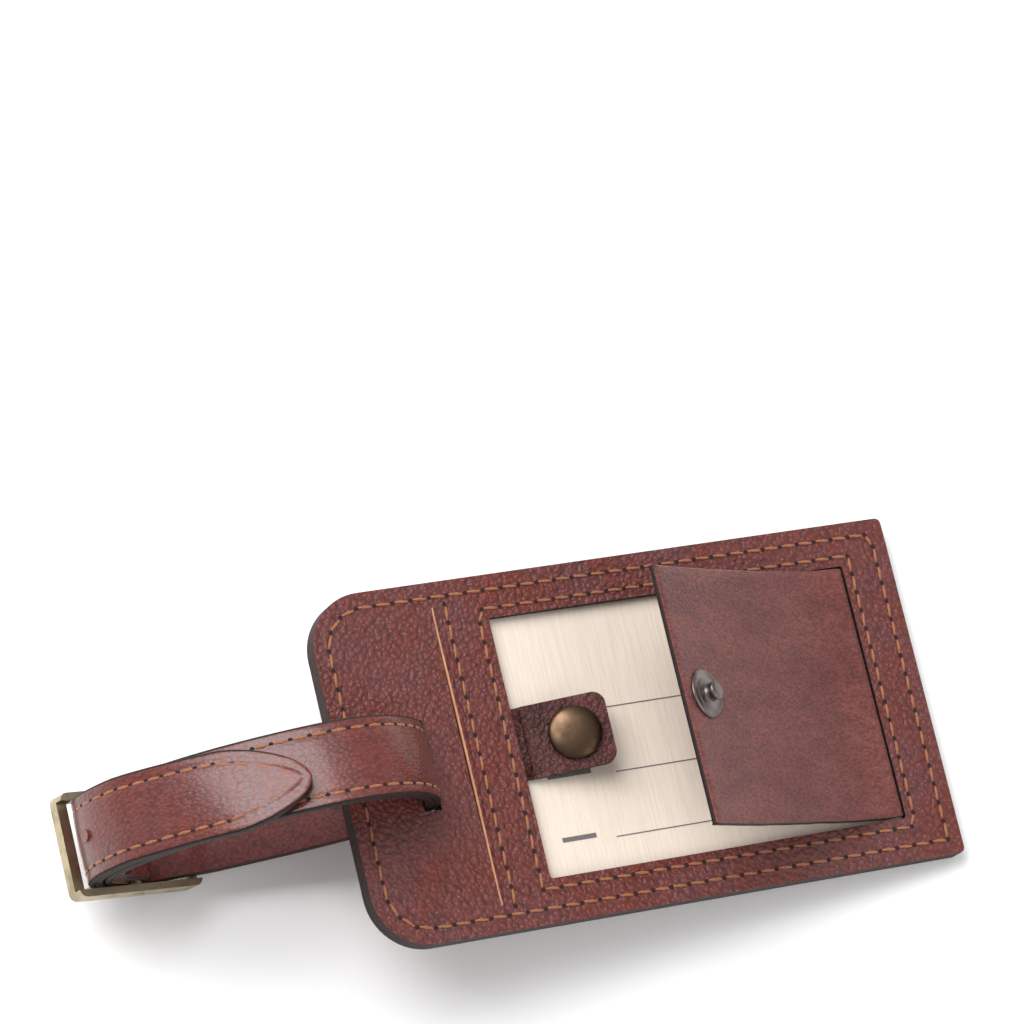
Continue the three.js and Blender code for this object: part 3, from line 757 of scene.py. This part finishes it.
class TAG_OT_panel(Operator):
    """Dress the front leather, the filler and the back leather"""

    bl_idname = "tag.panel"
    bl_label = "Panel"

    def execute(self, context):
        def front_face(spot, normal):
            if abs(normal.z) > 0.7:
                return 0
            at_slit = abs(spot.x - SLIT_X) < 0.9 and abs(spot.y) < 29.2
            return 2 if at_slit else 1

        def plain_face(spot, normal):
            return 0 if abs(normal.z) > 0.7 else 1

        finishes = ["panel_leather", "edge_paint", "raw_leather"]
        front = dressed("front_leather", "front_panel", "tag", finishes, front_face)
        rounded(front, sizes().edge_round)
        filler = dressed("filler", "filler_frame", "tag", ["filler_board", "edge_paint"], plain_face)
        rounded(filler, 0.08, 1)
        back = dressed("back_leather", "back_panel", "tag", ["panel_leather", "edge_paint"], plain_face)
        rounded(back, sizes().edge_round)
        self.slit_lip()
        return {"FINISHED"}

    @staticmethod
    def slit_lip():
        """The raw, slightly lifted cut edge on the window's side of the card slit."""
        data = bmesh.new()
        rings = []
        for i in range(41):
            y = -SLIT_HALF_LENGTH + 2 * SLIT_HALF_LENGTH * i / 40
            open_share = 1 - (y / SLIT_HALF_LENGTH) ** 2
            left = SLIT_X + 0.4 * open_share - 0.42 * math.sqrt(open_share) - 0.02
            right = SLIT_X + 0.42 * open_share + 0.55
            lift = 0.05 + 0.14 * open_share
            section = [
                (left, -0.7), (left + 0.05, lift * 0.6), (left + 0.3, lift),
                (right, lift * 0.7), (right + 0.25, -0.1),
            ]
            rings.append([data.verts.new(TAG @ Vector((x, y, z))) for x, z in section])
        for low, high in zip(rings, rings[1:]):
            for k in range(5):
                m = (k + 1) % 5
                data.faces.new((low[k], low[m], high[m], high[k])).material_index = 0 if k < 2 or k == 4 else 1
        data.faces.new(rings[0][::-1])
        data.faces.new(rings[-1])
        piece("slit_lip", data, ["raw_leather", "panel_leather"], "tag")


class TAG_OT_panel_seams(Operator):
    """Sew the seams round the panel, round the window and beside the card slit"""

    bl_idname = "tag.panel_seams"
    bl_label = "Panel seams"

    def execute(self, context):
        seam_x = TAG_LENGTH - SEAM_INSET
        seam_y = TAG_HALF_WIDTH - SEAM_INSET
        bend = STRAP_END_RADIUS - SEAM_INSET
        around = [(seam_x, -seam_y), (seam_x, seam_y)]
        around += arc(SEAM_INSET + bend, seam_y - bend, bend, 90, 180)
        around += arc(SEAM_INSET + bend, bend - seam_y, bend, 180, 270)
        left, right = WINDOW_SEAM
        half = WINDOW_SEAM_HALF
        window = [(left, -half), (right, -half), (right, half), (left, half)]
        slit = [(SLIT_SEAM_X, -seam_y + 1.6), (SLIT_SEAM_X, seam_y - 1.6)]
        for name, node, points, closed in (
            ("perimeter_stitches", "perimeter_thread", around, True),
            ("window_stitches", "window_thread", window, True),
            ("slit_stitches", "slit_thread", slit, False),
        ):
            data = bmesh.new()
            sew(data, seam_on_panel(points, closed), -0.1)
            piece(name, data, ["thread", "painted_hole_shade"], "tag", node)
        return {"FINISHED"}


class TAG_OT_window(Operator):
    """Finish the clear film and the address card, and rule the card"""

    bl_idname = "tag.window"
    bl_label = "Window and card"

    def execute(self, context):
        for node, name in (
            ("window_film", "clear_film"), ("address_card", "card_stock"), ("tab_anchor", "tab_leather"),
        ):
            slots = frame["nodes"][node].material_slots
            if len(slots) == 0:
                frame["nodes"][node].data.materials.append(finish(name))
            for held in slots:
                held.material = finish(name)
        data = bmesh.new()
        for y, start in ((5.4, 55), (-7.2, 55), (-19.5, 52)):
            self.bar(data, start, 106, y, 0.22)
        for y, end in ((7.2, 50), (-5.4, 52), (-17.7, 50)):
            self.bar(data, 41, end - 2, y - 1.2, 0.9)
        piece("card_lines", data, ["ink"], "card", smooth=False)
        return {"FINISHED"}

    @staticmethod
    def bar(data, x0, x1, y, width):
        low, high = CARD_TOP + 0.01, CARD_TOP + 0.02
        corners = [(x0, y), (x1, y), (x1, y + width), (x0, y + width)]
        bottom = [data.verts.new(TAG @ Vector((x, v, low))) for x, v in corners]
        top = [data.verts.new(TAG @ Vector((x, v, high))) for x, v in corners]
        data.faces.new(bottom[::-1])
        data.faces.new(top)
        for k in range(4):
            m = (k + 1) % 4
            data.faces.new((bottom[k], bottom[m], top[m], top[k]))


TAB = Matrix.Translation(TAB_HINGE) @ Matrix.Rotation(-math.radians(TAB_REST_ANGLE), 4, "Y")


class TAG_OT_snap_tab(Operator):
    """Dress the snap tab and turn its cap and socket"""

    bl_idname = "tag.snap_tab"
    bl_label = "Snap tab"

    def execute(self, context):
        up = TAB.to_3x3() @ Vector((0, 0, 1))
        tab = dressed(
            "tab_leaf", "snap_tab", "tab", ["tab_leather", "edge_paint"],
            lambda spot, normal: 0 if abs(normal.dot(up)) > 0.7 else 1,
        )
        rounded(tab, 0.35)
        bend = piece("tab_bend", root_of_tab(), ["tab_leather"], None)
        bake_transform(bend)
        place = TAB @ Matrix.Translation((SNAP_X, 0, 0))
        seat = TAB_THICKNESS / 2 + 0.05
        dome = [(5.1 * math.cos(a), seat + 0.8 + 1.2 * math.sin(a)) for a in (math.radians(5 * k) for k in range(18))]
        cap = [
            (0, -seat - 0.5), (1.5, -seat - 0.5), (1.5, seat), (4.8, seat), (5.1, seat + 0.3), *dome, (0, seat + 2),
        ]
        data = bmesh.new()
        turned(data, cap, place)
        piece("cap", data, ["bronze"], "tab", "snap_cap")
        top, bottom = -seat, -seat - 1.4
        socket = [
            (1.8, top), (1.8, top - 0.6), (2.3, bottom + 0.2), (2.5, bottom), (3.8, bottom), (4.2, bottom + 0.4),
            (4.2, top), (1.8, top),
        ]
        data = bmesh.new()
        turned(data, softened(socket), place)
        piece("socket", data, ["gunmetal"], "tab", "snap_socket")
        return {"FINISHED"}


def root_of_tab():
    """The thin bend of leather between the glued end of the tab and its leaf, in the panel's frame."""
    data = bmesh.new()
    half = TAB_ROOT_THICKNESS / 2
    slope = math.radians(TAB_REST_ANGLE)
    hinge_x, hinge_y, hinge_z = TAB_HINGE
    middle = [(WINDOW_LEFT - 1.6, hinge_z - 0.05, 0), (WINDOW_LEFT - 0.4, hinge_z - 0.05, 0)]
    for k in range(9):
        angle = slope * k / 8
        middle.append((hinge_x - 0.6 + 1.0 * k / 8, hinge_z - 0.04 + 0.16 * (k / 8) ** 2, angle))
    middle.append((hinge_x + 1.0 * math.cos(slope), hinge_z + 1.0 * math.sin(slope), slope))
    rings = []
    for x, z, angle in middle:
        up = Vector((-math.sin(angle), 0, math.cos(angle)))
        row = []
        for y, lift in ((-1, half), (1, half), (1, -half), (-1, -half)):
            corner = Vector((x, hinge_y + y * (TAB_HALF_WIDTH - 0.05), z))
            row.append(data.verts.new(TAG @ (corner + up * (lift * 0.94))))
        rings.append(row)
    for low, high in zip(rings, rings[1:]):
        for k in range(4):
            m = (k + 1) % 4
            data.faces.new((low[k], low[m], high[m], high[k]))
    data.faces.new(rings[0][::-1])
    data.faces.new(rings[-1])
    return data


def flap_place(distance):
    """A frame on the flap's outer face, z out of the face, at this distance along it from the fold."""
    point, _, normal = flap_curve.at(distance)
    normal = -normal
    angle = math.atan2(normal.x, normal.y)
    return Matrix.Translation((point.x, 0, point.y)) @ Matrix.Rotation(angle, 4, "Y")


class TAG_OT_flap(Operator):
    """Form the flap's leather, with its cut free edge, and set the stud and its rivet"""

    bl_idname = "tag.flap"
    bl_label = "Flap"

    def execute(self, context):
        data = bmesh.new()
        self.leather(data)
        piece("flap_leather", data, ["flap_leather", "edge_paint", "lining"], "flap", "flap")
        place = flap_place(flap_curve.length - STUD_FROM_FREE_EDGE)
        stud = [
            (0, 0.12), (4.7, 0.12), (4.7, 0.4), (4.35, 0.66), (4.0, 0.62), (3.7, 0.5), (3.3, 0.5), (3.0, 0.66),
            (2.4, 0.72), (1.75, 0.95), (1.55, 1.6), (1.9, 2.4), (1.8, 2.75), (1.3, 3), (0, 3),
        ]
        data = bmesh.new()
        turned(data, softened(stud), place)
        piece("stud", data, ["gunmetal"], "flap", "snap_stud")
        seat = -FLAP_THICKNESS - 0.15
        rivet = [(0, seat - 0.5), (3.2, seat - 0.5), (3.6, seat - 0.25), (3.6, seat), (1.2, seat), (1.2, 0), (0, 0)]
        data = bmesh.new()
        turned(data, softened(rivet), place)
        piece("rivet", data, ["gunmetal"], "flap", "stud_rivet")
        return {"FINISHED"}

    def leather(self, data):
        """Outer face, painted sides and suede inside, with soft shoulders and a slightly ragged cut."""
        shoulder = 0.35
        across = [-1 + 2 * k / 40 for k in range(41)]
        length = flap_curve.length

        def ring(t):
            thick = FLAP_ROOT_THICKNESS + (FLAP_THICKNESS - FLAP_ROOT_THICKNESS) * min(1, t * length / 4)
            ease = min(1, (1 - t) * length / 1.2)
            round_off = shoulder * (1 - math.sqrt(max(0, 1 - (1 - ease) ** 2)))
            ragged = 0.18 * noise.noise(Vector((0, t * 9, 3.1)))
            half = FLAP_HALF_WIDTH + ragged - 0.1
            top = [(-half + 0.02, -shoulder), (-half + 0.12, -shoulder * 0.35)]
            top += [(a * (half - 0.4), -round_off) for a in across]
            top += [(half - 0.12, -shoulder * 0.35), (half - 0.02, -shoulder)]
            bottom = [(half - 0.02, -thick + 0.15), (half - 0.2, -thick)]
            bottom += [(-a * (half - 0.4), -thick + round_off * 0.5) for a in across]
            bottom += [(-half + 0.2, -thick), (-half + 0.02, -thick + 0.15)]
            return [(a, -d) for a, d in top + bottom]

        faces = len(across) + 3

        def index(k):
            if 1 <= k <= faces - 1:
                return 0
            if faces + 2 <= k <= 2 * faces:
                return 2
            return 1

        swept(data, flap_curve, FLAP_FOLD_GAP, length, 70, ring, index=index, cap=1)


def strap_ring(outer, inner, half, centre, crown, round_outer=True):
    """Section of one ply: a full face with a sunk line at each seam, rounded shoulders, and a plain inner side."""
    shoulder = 0.45 if round_outer else 0.2
    points = []
    side = half / STRAP_HALF_WIDTH
    count = 28
    for k in range(count + 1):
        a = -1 + 2 * k / count
        y = a * (half - shoulder * side)
        seam = half - (STRAP_HALF_WIDTH - STRAP_SEAM)
        sunk = 0.16 * math.exp(-((abs(y) - seam) / 0.55) ** 2) if round_outer and seam > 0.6 else 0
        full = crown * (1 - a * a) if round_outer else 0
        points.append((centre + y, outer + full - sunk))
    face = [(centre - half, outer - shoulder), (centre - half + shoulder * 0.3, outer - shoulder * 0.3)]
    face += points
    face += [(centre + half - shoulder * 0.3, outer - shoulder * 0.3), (centre + half, outer - shoulder)]
    under = [(centre + half, inner + 0.12), (centre + half - 0.15, inner)]
    under += [(centre + half * (1 - 2 * k / 8) * 0.94, inner) for k in range(9)]
    under += [(centre - half + 0.15, inner), (centre - half, inner + 0.12)]
    return face + under


STRAP_FACE_POINTS = 33


def strap_index(k):
    """0 on the face, 1 on the painted edges and 2 on the inner side."""
    if 2 <= k <= STRAP_FACE_POINTS - 4:
        return 0
    if STRAP_FACE_POINTS + 1 <= k <= STRAP_FACE_POINTS + 10:
        return 2
    return 1


def point_half_width(t):
    """Half width of the free end: straight sides that close to a point in two arcs."""
    left = (1 - t) * free_curve.length
    if left > POINT_LENGTH:
        return STRAP_HALF_WIDTH
    share = left / POINT_LENGTH
    return max(0.5, STRAP_HALF_WIDTH * math.sqrt(max(0, 1 - (1 - share) ** 1.75)) * (0.86 + 0.14 * share))


def drift(t):
    """Middle line of the free end: it wanders to one side past the place where it lifts."""
    past = max(0.0, t - HINGE_SHARE) / (1 - HINGE_SHARE)
    return STRAP_CENTRE_Y + TIP_SIDESTEP * past


def bend_at_tip(made):
    """Bakes the transform of a piece of the free end into its mesh. The span about the place where the end lifts off
    the leg beneath it is worked out, but nothing bends the piece.
    """
    point, ahead, _ = free_curve.at(HINGE_SHARE * free_curve.length)
    start, end = point - ahead * TIP_BEND_REACH, point + ahead * TIP_BEND_REACH
    start, end = (TAG @ Vector((spot.x, 0, spot.y)) for spot in (start, end))
    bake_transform(made)
    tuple(start)
    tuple(end)


def cut_holes(made, cutters):
    """Cuts holes through a piece, so that no modifier is left on it."""
    for data in cutters:
        mesh = bpy.data.meshes.new("cutter")
        bmesh.ops.recalc_face_normals(data, faces=data.faces)
        data.to_mesh(mesh)
        data.free()
        tool = bpy.data.objects.new("cutter", mesh)
        bpy.context.scene.collection.objects.link(tool)
        cut = modifier(made, "BOOLEAN", object=tool, operation="DIFFERENCE", solver="EXACT")
        bpy.context.view_layer.update()
        result = bpy.data.meshes.new_from_object(made.evaluated_get(bpy.context.evaluated_depsgraph_get()))
        made.modifiers.remove(cut)
        made.data = result
        bpy.data.objects.remove(tool)


def block(centre, size, angle):
    """A box cutter in tag millimetres, turned about y."""
    data = bmesh.new()
    bmesh.ops.create_cube(data, size=1)
    place = Matrix.Translation(centre) @ Matrix.Rotation(math.radians(angle), 4, "Y") @ Matrix.Diagonal((*size, 1))
    bmesh.ops.transform(data, matrix=TAG @ place, verts=data.verts)
    return data


def punch(distance, radius_along, radius_across):
    """A round cutter through the free part of the strap, at this distance along the upper leg."""
    point, _, normal = upper_curve.at(distance)
    point = point + normal * OVERLAP
    data = bmesh.new()
    bmesh.ops.create_cone(data, segments=28, radius1=1, radius2=1, depth=4, cap_ends=True)
    angle = math.atan2(normal.x, normal.y)
    place = Matrix.Translation((point.x, STRAP_CENTRE_Y, point.y)) @ Matrix.Rotation(angle, 4, "Y")
    stretch = Matrix.Diagonal((radius_along, radius_across, 1, 1))
    bmesh.ops.transform(data, matrix=TAG @ place @ stretch, verts=data.verts)
    return data


class TAG_OT_strap(Operator):
    """Form the strap's face and lining, with the loop, the fold on the pin and the pointed free end"""

    bl_idname = "tag.strap"
    bl_label = "Strap"

    def execute(self, context):
        crown = sizes().crown
        gap = PLY_GAP / 2
        thick = STRAP_HALF_THICKNESS
        plies = (
            ("strap_outside", "strap_face", thick, gap, 0, True, ["strap_leather", "edge_paint", "raw_leather"]),
            ("strap_inside", "strap_lining", -gap, -thick, LINING_START, False, ["lining", "edge_paint", "lining"]),
        )
        slots = [(buckle(0.9, 0), (7, 3.2, 5.4)), (buckle(4.6, 3.2), (7, 3, 5.4))]
        for name, node, outer, inner, start, face, finishes in plies:
            data = bmesh.new()

            def ring(t, outer=outer, inner=inner, face=face):
                return strap_ring(outer, inner, STRAP_HALF_WIDTH, STRAP_CENTRE_Y, crown if face else 0, face)

            swept(data, main_curve, start, main_curve.length, 230, ring, leaned, strap_index, 1)
            made = piece(name, data, finishes, "strap", node)
            cut_holes(made, [
                block((c.x, STRAP_CENTRE_Y, c.y), size, BUCKLE_ANGLE) for c, size in slots[0 if face else 1:]
            ])
        for name, node, outer, inner, face, finishes in (
            ("tip_outside", "strap_tip_face", thick, gap, True, ["strap_leather", "edge_paint", "raw_leather"]),
            ("tip_inside", "strap_tip_lining", -gap, -thick, False, ["lining", "edge_paint", "lining"]),
        ):
            data = bmesh.new()

            def ring(t, outer=outer, inner=inner, face=face):
                return strap_ring(outer, inner, point_half_width(t), drift(t), crown if face else 0, face)

            swept(data, free_curve, 0.1, free_curve.length, 150, ring, leaned, strap_index, 1)
            made = piece(name, data, finishes, None, node)
            cut_holes(made, [punch(upper_curve.nearest(Vector(SPARE_HOLE_AT)), 1.5, 1.15)])
            bend_at_tip(made)
        return {"FINISHED"}


class TAG_OT_strap_seams(Operator):
    """Sew both edges of the strap and round the pointed free end"""

    bl_idname = "tag.strap_seams"
    bl_label = "Strap seams"

    def execute(self, context):
        start = main_curve.nearest(Vector(UPPER_LEG[5]))
        rows = bmesh.new()
        end = main_curve.nearest(buckle(14.6, -2))
        for side in (-1, 1):
            sew(rows, self.row(main_curve, start, end, lambda t: STRAP_CENTRE_Y + side * STRAP_SEAM))
        piece("strap_stitches", rows, ["thread", "painted_hole_shade"], "strap")
        tip = bmesh.new()
        reach = free_curve.length

        def inset(side):
            def across(t):
                turn_in = point_half_width(min(1, t + 2.1 / reach)) / STRAP_HALF_WIDTH
                return drift(t) + side * max(0.0, STRAP_HALF_WIDTH * turn_in - 2.4)
            return across

        for side in (-1, 1):
            sew(tip, self.row(free_curve, 3, reach - 2.6, inset(side)))
        bend_at_tip(piece("tip_stitches", tip, ["thread", "painted_hole_shade"], None))
        return {"FINISHED"}

    @staticmethod
    def row(curve, start, end, across):
        count = max(2, round((end - start) / 3.45))
        places = []
        for i in range(count + 1):
            distance = start + (end - start) * i / count
            point, ahead, normal = curve.at(distance)
            surface = point + normal * (STRAP_HALF_THICKNESS - 0.02)
            place = leaned(Vector((surface.x, across(distance / curve.length), surface.y)))
            places.append((place, Vector((ahead.x, 0, ahead.y)), Vector((normal.x, 0, normal.y))))
        return places


class TAG_OT_buckle(Operator):
    """Round the buckle's frame, pin and prong"""

    bl_idname = "tag.buckle"
    bl_label = "Buckle"

    def execute(self, context):
        for name, node, body, width in (
            ("buckle_bars", "buckle_frame", "buckle", 0.45),
            ("pin", "buckle_pin", "buckle", 0.12),
            ("prong", "buckle_prong", "prong", 0.16),
        ):
            made = dressed(name, node, body, ["brass"])
            rounded(made, width, 4)
        return {"FINISHED"}


class TAG_OT_stage(Operator):
    """Lay the floor and set the lights"""

    bl_idname = "tag.stage"
    bl_label = "Stage"

    def execute(self, context):
        stage = context.scene.tag_stage
        context.scene.view_settings.view_transform = "Standard"
        data = bmesh.new()
        bmesh.ops.create_grid(data, x_segments=1, y_segments=1, size=4)
        mesh = bpy.data.meshes.new("floor")
        data.to_mesh(mesh)
        data.free()
        floor = bpy.data.objects.new("floor", mesh)
        floor.location.z = -0.0002
        mesh.materials.append(new_material("floor", stage.floor, 0.6)[0])
        context.scene.collection.objects.link(floor)
        self.light("key", (-0.35, 0.5, 0.9), 0.8, stage.key)
        self.light("fill", (0.6, -0.5, 0.7), 0.9, stage.fill)
        world = bpy.data.worlds.new("sky")
        world.use_nodes = True
        background = world.node_tree.nodes["Background"]
        background.inputs["Color"].default_value = (1, 1, 1, 1)
        background.inputs["Strength"].default_value = stage.sky
        context.scene.world = world
        return {"FINISHED"}

    @staticmethod
    def light(name, place, size, power):
        data = bpy.data.lights.new(name, "AREA")
        data.size = size
        data.energy = power
        made = bpy.data.objects.new(name, data)
        made.location = place
        made.rotation_euler = (-Vector(place)).to_track_quat("-Z", "Y").to_euler()
        bpy.context.scene.collection.objects.link(made)


STEPS = (
    TAG_OT_camera, TAG_OT_panel, TAG_OT_panel_seams, TAG_OT_window, TAG_OT_snap_tab, TAG_OT_flap, TAG_OT_strap,
    TAG_OT_strap_seams, TAG_OT_buckle, TAG_OT_stage,
)


class TAG_PT_sidebar(Panel):
    """Lists the steps and their settings"""

    bl_idname = "TAG_PT_sidebar"
    bl_label = "Luggage Tag"
    bl_space_type = "VIEW_3D"
    bl_region_type = "UI"
    bl_category = "Luggage Tag"

    def draw(self, context):
        for step in STEPS:
            self.layout.operator(step.bl_idname)
        for held in (context.scene.tag_sizes, context.scene.tag_colours, context.scene.tag_stage):
            for key in held.__annotations__:
                self.layout.prop(held, key)


CLASSES = (TagSizes, TagColours, TagStage, *STEPS, TAG_PT_sidebar)


def register():
    for item in CLASSES:
        bpy.utils.register_class(item)
    bpy.types.Scene.tag_sizes = PointerProperty(type=TagSizes)
    bpy.types.Scene.tag_colours = PointerProperty(type=TagColours)
    bpy.types.Scene.tag_stage = PointerProperty(type=TagStage)


def unregister():
    del bpy.types.Scene.tag_stage
    del bpy.types.Scene.tag_colours
    del bpy.types.Scene.tag_sizes
    for item in reversed(CLASSES):
        bpy.utils.unregister_class(item)


def main():
    register()
    bpy.ops.tag.camera()
    bpy.ops.tag.panel()
    bpy.ops.tag.panel_seams()
    bpy.ops.tag.window()
    bpy.ops.tag.snap_tab()
    bpy.ops.tag.flap()
    bpy.ops.tag.strap()
    bpy.ops.tag.strap_seams()
    bpy.ops.tag.buckle()
    bpy.ops.tag.stage()


if __name__ == "__main__":
    main()
